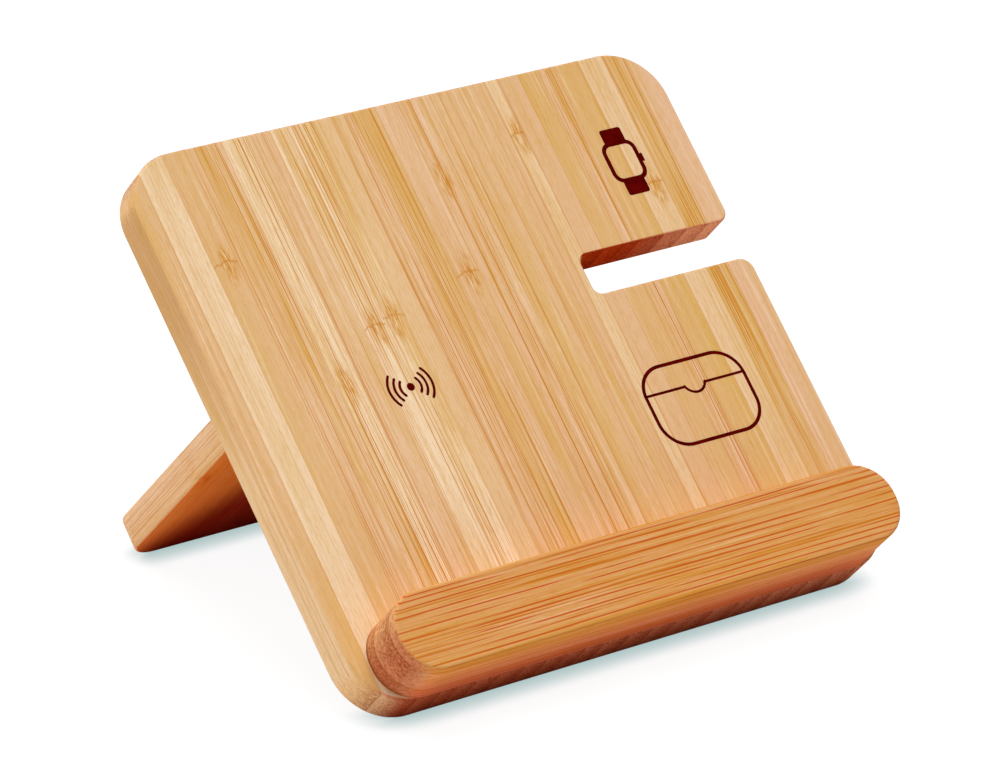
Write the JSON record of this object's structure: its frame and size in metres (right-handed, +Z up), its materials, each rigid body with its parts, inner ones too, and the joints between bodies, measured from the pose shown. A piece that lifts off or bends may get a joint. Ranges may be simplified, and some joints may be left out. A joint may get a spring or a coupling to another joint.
{
  "type": "charging station organizer",
  "caption": "Tilted bamboo charging stand with a front ledge, a side slot for a watch strap and a fold-out rear leg that folds flat on the back.",
  "frame": {"origin": "centre of the box's footprint, on the desk that the stand stands on", "axes": "+X to the right as the user faces the stand, +Y to the back, +Z up"},
  "size_m": [0.2, 0.1746, 0.1388],
  "materials": {
    "bamboo_panel": "fine sanded, clear matt oil",
    "bamboo_ledge": "fine sanded, clear matt oil",
    "dowel_wood": "plain",
    "bamboo_leg": "fine sanded, clear matt oil",
    "hinge_steel": "nickel plated",
    "pin_steel": "bright",
    "screw_steel": "zinc plated",
    "black_screw": "black oxide",
    "cover_plastic": "fine spark texture",
    "copper_wire": "enamelled",
    "ferrite": "matt",
    "magnet_nickel": "nickel plated",
    "board_green": "solder mask",
    "chip_black": "moulded",
    "inductor_grey": "moulded",
    "capacitor_tan": "fired",
    "shell_steel": "drawn",
    "tongue_black": "moulded",
    "lead_insulation": "extruded"
  },
  "bodies": {
    "stand": {"panel": "bamboo_panel", "ledge": "bamboo_ledge", "ledge_dowels": "dowel_wood", "panel_leaves": "hinge_steel", "hinge_pins": "pin_steel", "panel_leaf_screws": "screw_steel", "cover_screws": "black_screw", "back_cover": "cover_plastic", "phone_coil": "copper_wire", "earbud_coil": "copper_wire", "watch_coil": "copper_wire", "phone_ferrite": "ferrite", "earbud_ferrite": "ferrite", "watch_ferrite": "ferrite", "watch_magnet": "magnet_nickel", "circuit_board": "board_green", "board_screws": "screw_steel", "controller_chips": "chip_black", "power_inductors": "inductor_grey", "capacitors": "capacitor_tan", "inlet_shell": "shell_steel", "inlet_tongue": "tongue_black", "phone_lead": "lead_insulation", "earbud_lead": "lead_insulation", "watch_lead": "lead_insulation"},
    "leg": {"leg": "bamboo_leg", "leg_leaves": "hinge_steel", "leg_leaf_screws": "screw_steel"}
  },
  "joints": [
    {"name": "leg_fold", "type": "hinge", "parent": "stand", "child": "leg", "pos_m": [0, 0.00756, 0.06953], "axis": [-1, 0, 0], "range_deg": [0, 91.7]}
  ]
}
